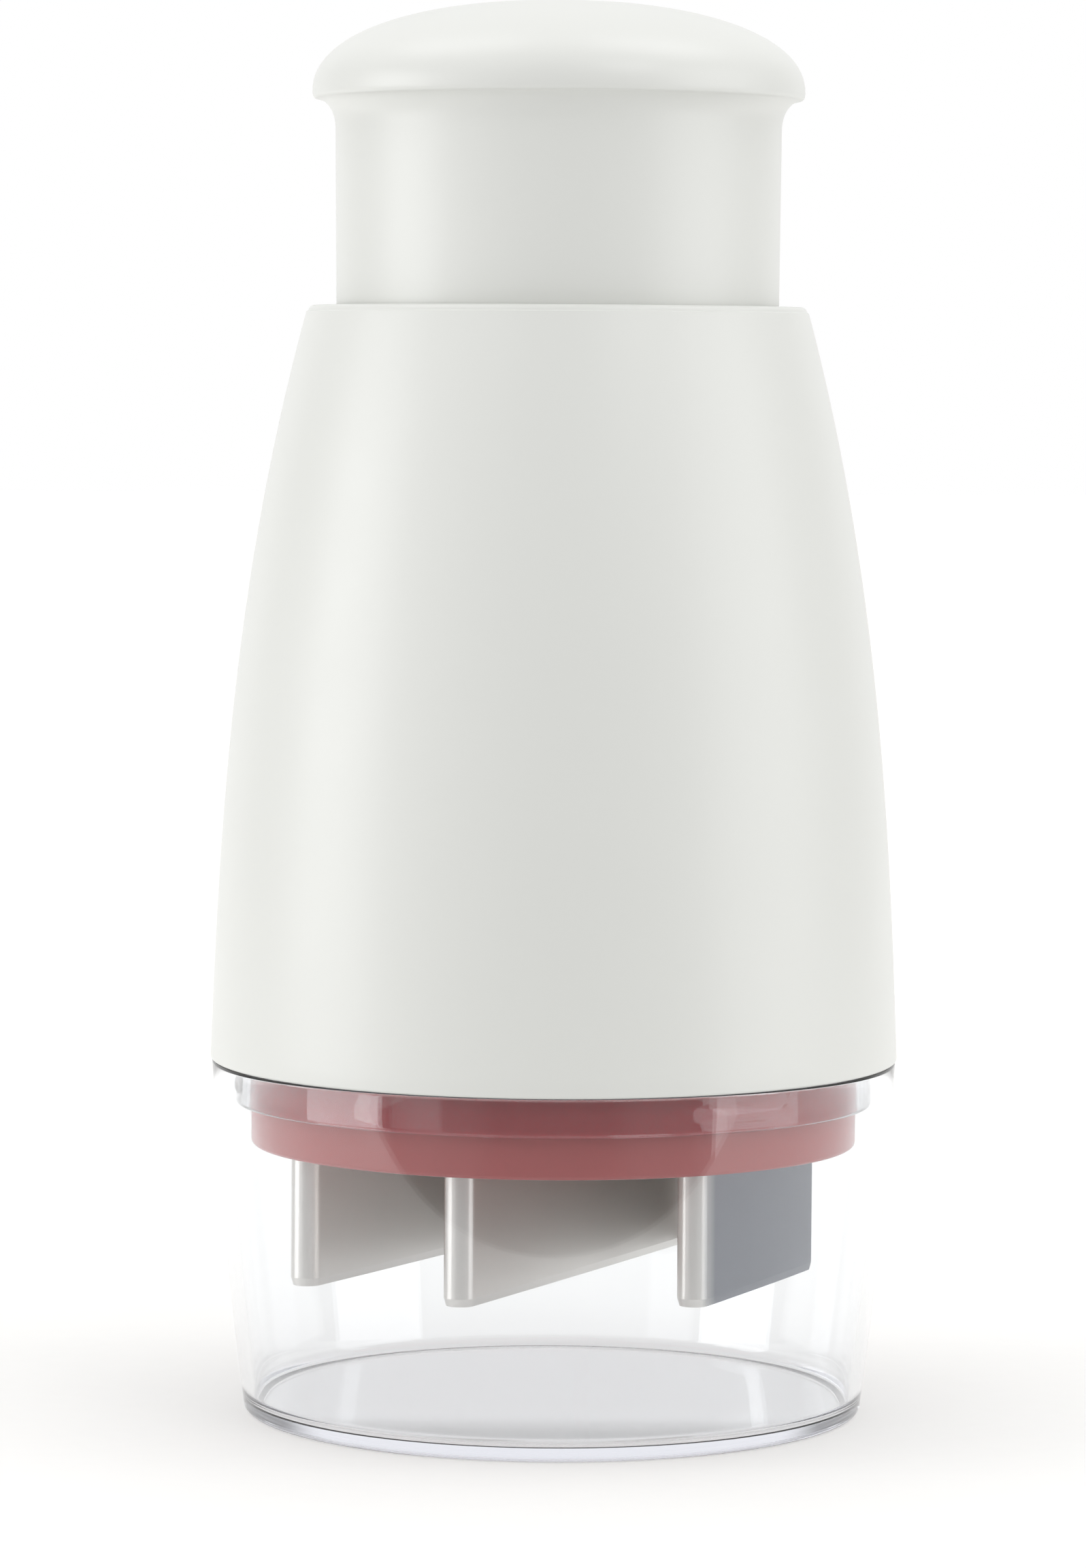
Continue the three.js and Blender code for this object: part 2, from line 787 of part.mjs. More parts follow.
// Short screws from above that hold the rotor hub on the blade carrier
function hubScrews() {
  const level = hubTop + seat;
  return around(hubScrewCount, (angle) => (
    skin(screw(hubScrewDistance, angle, level, false, level - hubScrewEnd()))
  ));
}

// Plunger shaft: a turned rod with a drive flange and a tapped lower end
function plungerShaft() {
  const flangeLow = wheelTop + seat + washerThick + seat;
  const flangeHigh = flangeLow + shaftFlangeHeight;
  const low = hubRecess;
  const bore = endScrewRadius + seat;
  return turned([
    at(0, low + endScrewDepth),
    at(bore, low + endScrewDepth),
    at(bore, low),
    at(shaftRadius, low),
    at(shaftRadius, flangeLow),
    at(shaftFlangeRadius, flangeLow),
    at(shaftFlangeRadius, flangeHigh),
    at(shaftRadius, flangeHigh),
    at(shaftRadius, shoulderLevel + insertHeight / 2),
    at(0, shoulderLevel + insertHeight / 2),
  ], smallSteps);
}

// Screw in the shaft's lower end that keeps the rotor hub on
function endScrew() {
  const head = solid(bar(endHeadRadius, endHeadBottom, endHeadTop, smallSteps));
  const shank = solid(bar(endScrewRadius, endHeadBottom + seat, hubRecess + endScrewDepth - overrun));
  return skin(joined(head, shank));
}

// Press knob: dome, lip, fillet and sleeve in one moulding, with a ribbed boss inside
function pressKnob() {
  const innerRadius = sleeveRadius - sleeveWall;
  const innerRise = domeRise - domeWall;
  const bore = insertRadius() + seat;
  const boss = bore + bossWall;
  const bossBottom = shoulderLevel - insertHeight / 2;
  const boreTop = shoulderLevel + insertHeight / 2 + seat;
  const filletLevel = lipLevel - lipDepth - filletRadius;
  const lipEdge = domeRadius - lipRound;
  const shell = solid(turned([
    ...dome(domeRadius, domeRise),
    ...corner(lipEdge, lipLevel, lipRound, lipDepth, outwards, downwards).slice(1),
    ...corner(
      sleeveRadius + filletRadius,
      filletLevel,
      -filletRadius,
      filletRadius,
      upwards,
      outwards,
      filletSteps,
    ).filter((point) => point.x < lipEdge),
    at(sleeveAt(sleeveBottom), sleeveBottom),
    at(sleeveAt(sleeveBottom) - sleeveWall, sleeveBottom),
    ...dome(innerRadius, innerRise).reverse().filter((point) => point.x > shoulderRadius),
    at(shoulderRadius, lipLevel + innerRise),
    at(shoulderRadius, shoulderLevel),
    at(boss, shoulderLevel),
    at(boss, bossBottom),
    at(bore, bossBottom),
    at(bore, boreTop),
    at(0, boreTop),
  ]));
  const ribStart = shoulderRadius - knobRibSink;
  const ribEnd = innerRadius + sleeveWall / 2;
  const ribTop = lipLevel + innerRise;
  const ribs = around(knobRibCount, (angle) => solid(
    new THREE.BoxGeometry(ribEnd - ribStart, knobRib, knobRibDrop)
      .translate((ribStart + ribEnd) / 2, 0, ribTop - knobRibDrop / 2)
      .rotateZ(angle * degree),
  ));
  const ribZone = solid(turned([
    ...dome(ribEnd, innerRise + domeWall / 2),
    at(ribEnd, lipLevel - knobRibDrop),
    at(0, lipLevel - knobRibDrop),
  ]));
  return skin(joined(shell, joined(...ribs).intersect(ribZone)));
}

// Outer radius of the threaded insert in the knob's boss
function insertRadius() {
  return shaftRadius + seat + insertWall;
}

// Threaded brass insert in the knob's boss
function knobInsert() {
  const low = shoulderLevel - insertHeight / 2;
  return ring(shaftRadius + seat, insertRadius(), low, low + insertHeight);
}

// Hexagon lock nut on the shaft under the boss
function lockNut() {
  const top = shoulderLevel - insertHeight / 2 - seat;
  const nut = solid(bar(lockNutRadius, top - lockNutHeight, top, hexSides));
  const bore = solid(bar(shaftRadius + seat, top - lockNutHeight - overrun, top + overrun, smallSteps));
  return skin(cut(nut, bore));
}

// Upper spring cup: a washer with a rim, held up against the knob's shoulder
function springCup() {
  const top = shoulderLevel - seat;
  const inner = insertRadius() + seat + bossWall + runClear;
  const rimInner = springRadius + wireRadius + runClear;
  return turned([
    at(inner, top),
    at(rimInner + springCupWall, top),
    at(rimInner + springCupWall, top - springCupRim),
    at(rimInner, top - springCupRim),
    at(rimInner, top - springCupThick),
    at(inner, top - springCupThick),
    at(inner, top),
  ], smallSteps);
}

// Return spring: one unbroken wire with closed end curls
function returnSpring() {
  const low = bridgeTop + seat + washerThick + seat + wireRadius;
  const high = shoulderLevel - seat - springCupThick - seat - wireRadius;
  const closedRise = 2 * wireRadius + closedGap;
  const openRise = (high - low - 2 * closedRise) / (springCurls - 2);
  const heightAt = (turn) => {
    if (turn <= 1) return low + closedRise * turn;
    if (turn >= springCurls - 1) return high - closedRise * (springCurls - turn);
    return low + closedRise + openRise * (turn - 1);
  };
  const steps = springCurls * curlSteps;
  const centre = (i) => {
    const turn = i / curlSteps;
    const angle = turn * fullTurn;
    return new THREE.Vector3(springRadius * Math.cos(angle), springRadius * Math.sin(angle), heightAt(turn));
  };
  const rings = Array.from({ length: steps + 1 }, (_, i) => {
    const middle = centre(i);
    const ahead = centre(Math.min(i + 1, steps)).sub(centre(Math.max(i - 1, 0))).normalize();
    const outward = new THREE.Vector3(middle.x, middle.y, 0).normalize();
    const upward = new THREE.Vector3().crossVectors(outward, ahead).normalize();
    return Array.from({ length: wireSides }, (_, k) => {
      const angle = -k / wireSides * fullTurn;
      return middle.clone()
        .addScaledVector(outward, wireRadius * Math.cos(angle))
        .addScaledVector(upward, wireRadius * Math.sin(angle));
    });
  });
  console.log(`return_spring least gap ${closedGap.toFixed(2)} mm, open pitch ${openRise.toFixed(2)} mm`);
  return lofted(rings, false);
}

// Colours and finishes seen in the photograph
const whitePlastic = 0xe9e9e5;
const clearPlastic = 0xeef4fa;
const redPlastic = 0xb5484e;
const innerPlastic = 0xd9d9d4;
const stainless = 0xb9b8b4;
const zincSteel = 0xa9abad;
const brass = 0xb89a55;
const softRubber = 0x4a4a4c;

// Pieces of the cup
const cup = new THREE.Group();
cup.add(piece('clear_cup', clearCup(), clearPlastic, 0.08));

// Pieces fixed to the housing
const housing = new THREE.Group();
housing.add(
  piece('housing_shell', housingShell(), whitePlastic, 0.45),
  piece('clear_collar_ring', clearCollar(), clearPlastic, 0.08),
  piece('bridge_plate', bridgePlate(), innerPlastic, 0.5),
  ...bridgeScrews().map((body, i) => piece(`bridge_screw_${i + 1}`, body, zincSteel, 0.35, 1)),
  piece('upper_crown', upperCrown(), innerPlastic, 0.5),
  piece('index_cage', indexCage(), innerPlastic, 0.5),
  ...cageScrews().map((body, i) => piece(`cage_screw_${i + 1}`, body, zincSteel, 0.35, 1)),
  piece('lower_spring_washer', ring(
    tubeRadius + runClear,
    springWasherRadius,
    bridgeTop + seat,
    bridgeTop + seat + washerThick,
  ), zincSteel, 0.35, 1),
  piece('return_spring', returnSpring(), stainless, 0.3, 1),
  piece('bumper_ring', ring(
    bumperInner,
    bumperInner + bumperWidth,
    bridgeTop + seat,
    bumperTop,
    roundSteps,
  ), softRubber, 0.8),
);

// Pieces that move with the press knob
const plunger = new THREE.Group();
plunger.add(
  piece('press_knob', pressKnob(), whitePlastic, 0.45),
  piece('plunger_shaft', plungerShaft(), stainless, 0.25, 1),
  piece('knob_insert', knobInsert(), brass, 0.35, 1),
  piece('shaft_lock_nut', lockNut(), zincSteel, 0.35, 1),
  piece('upper_spring_cup', springCup(), zincSteel, 0.35, 1),
  piece('drive_washer', ring(
    shaftRadius + seat,
    shaftFlangeRadius,
    wheelTop + seat,
    wheelTop + seat + washerThick,
  ), stainless, 0.3, 1),
  piece('end_washer', ring(
    endScrewRadius + seat,
    shaftFlangeRadius,
    endWasherTop - washerThick,
    endWasherTop,
  ), stainless, 0.3, 1),
  piece('end_screw', endScrew(), stainless, 0.3, 1),
);

// Pieces that turn with the blade
const bladeRotor = new THREE.Group();
bladeRotor.add(
  piece('ratchet_wheel', ratchetWheel(), innerPlastic, 0.45),
  piece('rotor_hub', rotorHub(), innerPlastic, 0.45),
  piece('blade_carrier', bladeCarrier(), redPlastic, 0.4),
  ...hubScrews().map((body, i) => piece(`hub_screw_${i + 1}`, body, zincSteel, 0.35, 1)),
  piece('blade_strip', bladeStrip(), stainless, 0.25, 1),
);

// The wiper turns with the blade that passes through it
const wiper = new THREE.Group();
wiper.add(piece('wiper_disc', wiperDisc(), redPlastic, 0.35));

const chopper = new THREE.Group();
chopper.add(cup, housing, plunger, bladeRotor, wiper);

export default chopper;
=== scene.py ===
# Hand-press food chopper: a clear cup, a bell housing, a sprung press knob and a zigzag blade.
# Metres, +Z up, origin on the table under the middle of the cup, front towards -Y.
import math

import bmesh
import bpy
from mathutils import Matrix, Vector


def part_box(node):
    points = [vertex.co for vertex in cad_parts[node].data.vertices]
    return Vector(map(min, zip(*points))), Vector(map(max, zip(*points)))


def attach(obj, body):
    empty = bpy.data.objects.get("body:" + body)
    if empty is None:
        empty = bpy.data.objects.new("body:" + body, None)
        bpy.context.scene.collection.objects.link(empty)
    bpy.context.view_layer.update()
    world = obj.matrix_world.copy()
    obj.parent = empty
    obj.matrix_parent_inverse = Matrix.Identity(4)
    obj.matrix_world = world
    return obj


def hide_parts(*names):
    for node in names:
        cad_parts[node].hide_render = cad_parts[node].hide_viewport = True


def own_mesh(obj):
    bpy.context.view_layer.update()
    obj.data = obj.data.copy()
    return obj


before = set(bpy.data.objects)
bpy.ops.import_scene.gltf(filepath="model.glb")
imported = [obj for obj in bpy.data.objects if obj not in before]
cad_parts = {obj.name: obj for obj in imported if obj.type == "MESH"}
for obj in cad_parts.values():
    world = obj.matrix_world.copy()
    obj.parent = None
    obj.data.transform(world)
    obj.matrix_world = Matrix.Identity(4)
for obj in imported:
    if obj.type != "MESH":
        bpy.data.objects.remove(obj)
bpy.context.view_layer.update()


# Photographer's view. A telephoto lens stands at the height of the bell's mouth, looks down by four
# degrees and leans by a third of a degree.
mm = 0.001
picture_height = 2304
focal_pixels = 8577
camera_distance = 888 * mm
camera_height = 160.8 * mm
camera_pitch = math.radians(4.19)
camera_roll = math.radians(0.31)
camera_yaw = math.radians(0.119)

camera_data = bpy.data.cameras.new("photo_camera")
camera_data.sensor_width = 36
camera_data.lens = camera_data.sensor_width * focal_pixels / picture_height
camera = bpy.data.objects.new("photo_camera", camera_data)
bpy.context.scene.collection.objects.link(camera)
camera.location = (0, -camera_distance, camera_height)
camera.rotation_euler = (
    Matrix.Rotation(camera_yaw, 3, "Z")
    @ Matrix.Rotation(math.pi / 2 - camera_pitch, 3, "X")
    @ Matrix.Rotation(camera_roll, 3, "Z")
).to_euler()
bpy.context.scene.camera = camera
bpy.context.scene.view_settings.view_transform = "Standard"


# White tent. Cloth of several greys lights the object from all round: pale overhead, behind and
# near the floor, darker at the sides and darkest in the room behind the lens, which the clear
# walls mirror. The lens itself sees pure white.
def add(tree, kind, links=None, **settings):
    """Adds a node; links maps an input's name or number to a value or to another node's output."""
    node = tree.nodes.new(kind)
    for name, value in settings.items():
        setattr(node, name, value)
    for name, value in (links or {}).items():
        if isinstance(value, bpy.types.NodeSocket):
            tree.links.new(value, node.inputs[name])
        else:
            node.inputs[name].default_value = value
    return node


def linear(sheet):
    """An sRGB hex colour as linear RGBA."""
    parts = [int(sheet[i : i + 2], 16) / 255 for i in (0, 2, 4)]
    return [p / 12.92 if p <= 0.04045 else ((p + 0.055) / 1.055) ** 2.4 for p in parts] + [1]


tent = bpy.data.worlds.new("white_tent")
tent.use_nodes = True
sky = tent.node_tree
sky.nodes.clear()
way = add(sky, "ShaderNodeTexCoord")
parts = add(sky, "ShaderNodeSeparateXYZ", {0: way.outputs["Generated"]})


def ramp(axis, start, end):
    """A soft step along one axis of the direction, 0 at its start and 1 at its end."""
    return add(
        sky,
        "ShaderNodeMapRange",
        {"Value": parts.outputs[axis], "From Min": start, "From Max": end},
        interpolation_type="SMOOTHSTEP",
    ).outputs[0]


def blend(mask, without, within):
    """A level that goes from one value to another with a mask."""
    links = {"Factor": mask, "A": without, "B": within}
    return add(sky, "ShaderNodeMix", links, data_type="FLOAT").outputs[0]


side_cloth = 0.3
back_cloth = 0.93
lens_cloth = 0.62
table_cloth = 0.41
dark_room = 0.31
floor_cloth = 0.91
top_cloth = 0.95
room_edge = (0.3, 0.5)
lens_edge = (0.02, -0.06)
back_edge = (0.6, 0.8)
front_edge = (-0.45, -0.7)
floor_edge = (-0.32, -0.42)
top_edge = (0.25, 0.85)
room_right = blend(ramp("X", *room_edge), dark_room, table_cloth)
room = blend(ramp("X", *[-edge for edge in room_edge]), room_right, table_cloth)
front = blend(ramp("Z", *lens_edge), lens_cloth, room)
around = blend(ramp("Y", *back_edge), side_cloth, back_cloth)
walls = blend(ramp("Y", *front_edge), around, front)
upright = blend(ramp("Z", *floor_edge), walls, floor_cloth)
cloth = blend(ramp("Z", *top_edge), upright, top_cloth)
lit = add(sky, "ShaderNodeBackground", {"Color": (1, 1, 1, 1), "Strength": cloth})
seen = add(sky, "ShaderNodeBackground", {"Color": (1, 1, 1, 1), "Strength": 1.0})
eye = add(sky, "ShaderNodeLightPath")
both = add(
    sky,
    "ShaderNodeMixShader",
    {0: eye.outputs["Is Camera Ray"], 1: lit.outputs[0], 2: seen.outputs[0]},
)
add(sky, "ShaderNodeOutputWorld", {"Surface": both.outputs[0]})
bpy.context.scene.world = tent


# Softboxes. Two tall ones at the sides, the left one with a dimmer neighbour, shape the white bell
# and draw the bright strips on the clear cup and the red wiper. Four smaller ones above light the
# dome and the shoulders.
light_aim = Vector((0, 0, 0.1))


def softbox(name, place, width, height, watts):
    """A flat soft light that faces the middle of the object."""
    data = bpy.data.lights.new(name, "AREA")
    data.shape = "RECTANGLE"
    data.size = width
    data.size_y = height
    data.energy = watts
    lamp = bpy.data.objects.new(name, data)
    bpy.context.scene.collection.objects.link(lamp)
    lamp.location = place
    lamp.rotation_euler = (light_aim - Vector(place)).to_track_quat("-Z", "Y").to_euler()


softbox("left_softbox", (-0.87, -0.16, 0.16), 0.55, 0.7, 3.7)
softbox("left_inner", (-0.66, -0.58, 0.2), 0.3, 0.7, 0.31)
softbox("right_softbox", (0.87, -0.23, 0.22), 0.7, 0.9, 3.05)
softbox("front_top_left", (-0.5, -0.7, 0.8), 0.4, 0.4, 0.27)
softbox("front_top_right", (0.5, -0.7, 0.8), 0.4, 0.4, 1.14)
softbox("top_left", (-0.4, 0.1, 1.1), 0.5, 0.6, 1.24)
softbox("top_right", (0.4, 0.1, 1.1), 0.5, 0.6, 1.3)


# Table. Opal acrylic with a matt skin that glows, a little more towards the back, with a painted
# pool of light under the cup. It ends just in front of the picture's lower edge, so that the clear
# cup mirrors no bright table there, and at the softboxes on both sides.
def finish_of(name):
    """A new material with its node tree and its main shader."""
    made = bpy.data.materials.new(name)
    made.use_nodes = True
    tree = made.node_tree
    return made, tree, tree.nodes["Principled BSDF"]


def grain(tree, size, lengths=(1, 1, 1), detail=2.0):
    """Noise with a real grain size in metres, stretched along X, Y and Z by the given lengths."""
    place = add(tree, "ShaderNodeTexCoord")
    stretched = add(
        tree,
        "ShaderNodeMapping",
        {"Vector": place.outputs["Object"], "Scale": tuple(1 / (size * n) for n in lengths)},
    )
    links = {"Vector": stretched.outputs[0], "Scale": 1.0, "Detail": detail}
    return add(tree, "ShaderNodeTexNoise", links).outputs["Fac"]


def ranged(tree, value, low, high, start=0.3, end=0.7, form="LINEAR"):
    """A value from start to end, by default the usual span of noise, spread between two others."""
    limits = {"From Min": start, "From Max": end, "To Min": low, "To Max": high}
    return add(
        tree, "ShaderNodeMapRange", {"Value": value, **limits}, interpolation_type=form
    ).outputs[0]


def tinted(tree, value, first, second):
    """A value as a colour between two: each an sRGB hex colour or another node's colour."""
    ends = [linear(end) if isinstance(end, str) else end for end in (first, second)]
    links = {"Factor": value, 6: ends[0], 7: ends[1]}
    return add(tree, "ShaderNodeMix", links, data_type="RGBA").outputs[2]


def bumped(tree, shader, value, depth):
    """Surface relief of a real depth in metres from noise."""
    node = add(tree, "ShaderNodeBump", {"Height": value, "Distance": depth, "Strength": 1.0})
    tree.links.new(node.outputs[0], shader.inputs["Normal"])


opal, tree, shader = finish_of("opal_acrylic_matt")
tree.links.new(tinted(tree, grain(tree, 4 * mm), "CAC9C7", "CDCCCA"), shader.inputs["Base Color"])
shader.inputs["Roughness"].default_value = 0.9
shader.inputs["Specular IOR Level"].default_value = 0.2
shader.inputs["Emission Color"].default_value = (1, 1, 1, 1)
table_glow = 0.35
far_glow = 0.525
far_start = 50 * mm
far_end = 600 * mm
pool_glow = 0.2
pool_reach = 48 * mm
pool_fade = 3 * mm
place = add(tree, "ShaderNodeTexCoord").outputs["Object"]
back = add(tree, "ShaderNodeSeparateXYZ", {0: place}).outputs["Y"]
glow = ranged(tree, back, table_glow, far_glow, far_start, far_end)
away = add(tree, "ShaderNodeVectorMath", {0: place}, operation="LENGTH").outputs["Value"]
# painted pool of light: the table glows more within the cup's foot
painted_pool = ranged(tree, away, pool_glow, 0.0, pool_reach - pool_fade, pool_reach, "SMOOTHSTEP")
total_glow = add(tree, "ShaderNodeMath", {0: glow, 1: painted_pool}, operation="ADD")
tree.links.new(total_glow.outputs[0], shader.inputs["Emission Strength"])

table_mesh = bpy.data.meshes.new("table")
table_side = 0.84
table_back = 6.0
table_front = -0.14
table_gap = 0.1 * mm
corners = [(-table_side, table_front, 0), (table_side, table_front, 0)]
corners += [(table_side, table_back, 0), (-table_side, table_back, 0)]
table_mesh.from_pydata(corners, [], [(0, 1, 2, 3)])
table = bpy.data.objects.new("table", table_mesh)
table.location.z = -table_gap
bpy.context.scene.collection.objects.link(table)
table_mesh.materials.append(opal)


# Clear cup. One injection moulding in clear styrene from a polished tool: a bowed wall that widens
# upwards, a thin flat floor and a rounded rim. Thick edges show a faint violet, and light bounces
# many times inside them.
def arc(radius, height, reach, start, end, steps):
    """Points of (radius, height) on a round corner, angles in degrees from outwards to upwards."""
    turns = [math.radians(start + (end - start) * i / steps) for i in range(steps + 1)]
    return [(radius + reach * math.cos(t), height + reach * math.sin(t)) for t in turns]


def run(radius_at, start, end, steps):
    """Points of (radius, height) along a radius that is a formula of height."""
    heights = [start + (end - start) * i / steps for i in range(steps + 1)]
    return [(radius_at(h), h) for h in heights]


def piece(name, mesh, finish, body, slot, *nodes, crease=35):
    """A smooth shaded piece with its finish, riding on a body in place of its CAD nodes."""
    mesh.shade_smooth()
    mesh.set_sharp_from_angle(angle=math.radians(crease))
    mesh.materials.append(finish)
    made = bpy.data.objects.new(name, mesh)
    bpy.context.scene.collection.objects.link(made)
    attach(made, body)
    if nodes:
        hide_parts(*nodes)
    return made


def mesh_from(maker, name):
    """The mesh of finished faces, all turned outwards."""
    bmesh.ops.recalc_face_normals(maker, faces=maker.faces)
    mesh = bpy.data.meshes.new(name)
    maker.to_mesh(mesh)
    maker.free()
    return mesh


def turned(name, outline, steps=192):
    """A mesh from an outline of (radius, height) turned once round the Z axis."""
    maker = bmesh.new()
    rings = []
    for radius, height in outline:
        if radius == 0:
            rings.append([maker.verts.new((0, 0, height))] * steps)
            continue
        turns = [math.tau * k / steps for k in range(steps)]
        ring = [(radius * math.cos(t), radius * math.sin(t), height) for t in turns]
        rings.append([maker.verts.new(point) for point in ring])
    closed = outline[0][0] != 0
    for low, high in zip(rings, rings[1:] + rings[:1] if closed else rings[1:]):
        for k in range(steps):
            ahead = (k + 1) % steps
            corners = dict.fromkeys([low[k], low[ahead], high[ahead], high[k]])
            if len(corners) > 2:
                maker.faces.new(corners)
    return mesh_from(maker, name)


cup_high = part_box("clear_cup")[1]
cup_height = cup_high.z
cup_rim = cup_high.x
cup_foot = 47.15 * mm
cup_bulge = 2.16 * mm
cup_wall = 2 * mm
cup_floor = 1.9 * mm
foot_round = 1 * mm
rim_round = 0.45 * mm
floor_round = 2 * mm
seat_lift = 0.2 * mm
inner_rim_round = 0.5 * mm


def cup_outside(height):
    rise = height / cup_height
    return cup_foot + (cup_rim - cup_foot) * rise + cup_bulge * rise * (1 - rise)


def cup_inside(height):
    return cup_outside(height) - cup_wall


floor_turn = cup_floor + floor_round
rim_level = cup_height + seat_lift
inner_rim = rim_level - inner_rim_round
cup_outline = [
    (0, 0),
    *arc(cup_outside(foot_round) - foot_round, foot_round, foot_round, -90, 0, 10),
    *run(cup_outside, foot_round, rim_level - rim_round, 24)[1:],
    *arc(cup_rim - rim_round, rim_level - rim_round, rim_round, 10, 90, 6),
    *arc(cup_inside(rim_level) + inner_rim_round, inner_rim, inner_rim_round, 90, 180, 6),
    *run(cup_inside, inner_rim, floor_turn, 24)[1:],
    *arc(cup_inside(floor_turn) - floor_round, floor_turn, floor_round, -8, -90, 12),
    (0, cup_floor),
]

styrene, tree, shader = finish_of("clear_styrene_polished")
shader.inputs["Base Color"].default_value = linear("FBFCFD")
shader.inputs["IOR"].default_value = 1.57
shader.inputs["Transmission Weight"].default_value = 1.0
tree.links.new(ranged(tree, grain(tree, 9 * mm), 0.0, 0.03), shader.inputs["Roughness"])
depth_tint = add(
    tree, "ShaderNodeVolumeAbsorption", {"Color": linear("ECEDFA"), "Density": 6.0}
)
tree.links.new(depth_tint.outputs[0], tree.nodes["Material Output"].inputs["Volume"])

light_paths = bpy.context.scene.cycles
light_paths.glossy_bounces = 24
light_paths.transmission_bounces = 32
light_paths.max_bounces = 32

piece("cup", turned("cup", cup_outline), styrene, "cup", "clear_plastic", "clear_cup")


# Clear collar ring. A second styrene moulding screwed in under the bell: the cup slips over it and
# the red wiper hangs in it by its flange. Three low lugs hold the cup. Each is a gentle swelling
# of the outer wall, crowned in height and nearly level along its arc.
collar_low, collar_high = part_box("clear_collar_ring")
collar_outer = 48.6 * mm
collar_wall = 2 * mm
collar_flange = 2.5 * mm
collar_round = 0.5 * mm
lug_level = 50.7 * mm
lug_half = 1.2 * mm
lug_height = 0.35 * mm
lug_arc = 9.2
lug_places = (35, 155, 275)
lug_squareness = 8
collar_inner = collar_outer - collar_wall
flange_low = collar_high.z - collar_flange
collar_outline = [
    (collar_inner, collar_high.z),
    *arc(collar_inner + collar_round, collar_low.z + collar_round, collar_round, 180, 270, 6),
    *arc(collar_outer - collar_round, collar_low.z + collar_round, collar_round, -90, 0, 6),
    *run(lambda height: collar_outer, lug_level - lug_half, lug_level + lug_half, 12),
    (collar_outer, flange_low),
    (collar_high.x, flange_low),
    (collar_high.x, collar_high.z),
]
collar_steps = 384
wall_skin = 0.05 * mm
collar_mesh = turned("collar_ring", collar_outline, collar_steps)
for corner in collar_mesh.vertices:
    x, y, height = corner.co
    radius = math.hypot(x, y)
    if radius < collar_outer - wall_skin or abs(height - lug_level) >= lug_half:
        continue
    turn = math.degrees(math.atan2(x, -y)) % 360
    along = min(abs(turn - place) for place in lug_places) / lug_arc
    if along < 1:
        crown = 1 - ((height - lug_level) / lug_half) ** 2
        swell = 1 + lug_height * crown * (1 - along**lug_squareness) / radius
        corner.co = (x * swell, y * swell, height)
piece("collar_ring", collar_mesh, styrene, "housing", "clear_plastic", "clear_collar_ring")


# Bell housing. White ABS with a spark-eroded satin skin: nearly straight at the foot and drawn in
# towards a mouth with a small round, through which the knob's sleeve slides.
bell_low, bell_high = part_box("housing_shell")
bell_foot = bell_high.x
bell_mouth = 37.83 * mm
bell_taper = 4.4 * mm
bell_power = 2.65
bell_wall = 2.3 * mm
bell_edge = 0.4 * mm
mouth_round = 1.0 * mm
mouth_chamfer = 0.3 * mm
mouth_bore = 33.9 * mm
guide_wall = 2 * mm
guide_depth = 18 * mm
guide_root = 9 * mm
ledge_low = 61.9 * mm
ledge_thick = 2 * mm
ledge_inner = 47 * mm
wiper_recess = 48.4 * mm
collar_seat = 59.8 * mm


def bell_outside(height):
    rise = (height - bell_low.z) / (bell_high.z - bell_low.z)
    shoulder = bell_foot - bell_mouth - bell_taper
    return bell_foot - bell_taper * rise - shoulder * rise**bell_power


def bell_inside(height):
    return bell_outside(height) - bell_wall


bell_outline = [
    (bell_inside(bell_low.z) + bell_edge, bell_low.z),
    *arc(bell_foot - bell_edge, bell_low.z + bell_edge, bell_edge, -90, 0, 5),
    *run(bell_outside, bell_low.z + bell_edge, bell_high.z - mouth_round, 48)[1:],
    *arc(bell_mouth - mouth_round, bell_high.z - mouth_round, mouth_round, 12, 90, 8),
    *arc(mouth_bore + mouth_chamfer, bell_high.z - mouth_chamfer, mouth_chamfer, 90, 180, 5),
    (mouth_bore, bell_high.z - guide_depth),
    (mouth_bore + guide_wall, bell_high.z - guide_depth),
    *run(bell_inside, bell_high.z - guide_root, ledge_low + ledge_thick, 24),
    (ledge_inner, ledge_low + ledge_thick),
    (ledge_inner, ledge_low),
    (wiper_recess, ledge_low),
    (wiper_recess, collar_seat),
    (bell_inside(collar_seat), collar_seat),
    (bell_inside(bell_low.z), bell_low.z + bell_edge),
]

white_abs, tree, shader = finish_of("white_abs_satin_moulded")
off_white = tinted(tree, grain(tree, 30 * mm), "DDDEDA", "DFE0DC")
tree.links.new(off_white, shader.inputs["Base Color"])
tree.links.new(ranged(tree, grain(tree, 12 * mm), 0.34, 0.38), shader.inputs["Roughness"])
shader.inputs["IOR"].default_value = 1.54
bumped(tree, shader, grain(tree, 0.45 * mm), 0.006 * mm)

bell_mesh = turned("bell_housing", bell_outline)
piece("bell_housing", bell_mesh, white_abs, "housing", "white_plastic", "housing_shell")


# Press knob. One ABS moulding: a dome for the palm, a thin lip, a hollow under it and the sleeve
# that goes down into the bell.
knob_low, knob_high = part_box("press_knob")
lip_level = 200.5 * mm
lip_reach = knob_high.x
lip_depth = 1 * mm
lip_round = 0.5 * mm
dome_power = 2.2
hollow_round = 3 * mm
hollow_rise = 4.4 * mm
sleeve_top = 33.75 * mm
sleeve_foot = 33.33 * mm
sleeve_wall = 2.4 * mm
dome_wall = 2.8 * mm


def dome(reach, rise, steps):
    """Points from the dome's top to its widest place."""
    turns = [math.pi / 2 * i / steps for i in range(steps + 1)]
    power = 2 / dome_power
    points = [
        (reach * math.sin(t) ** power, lip_level + rise * math.cos(t) ** power) for t in turns[:-1]
    ]
    return [*points, (reach, lip_level)]


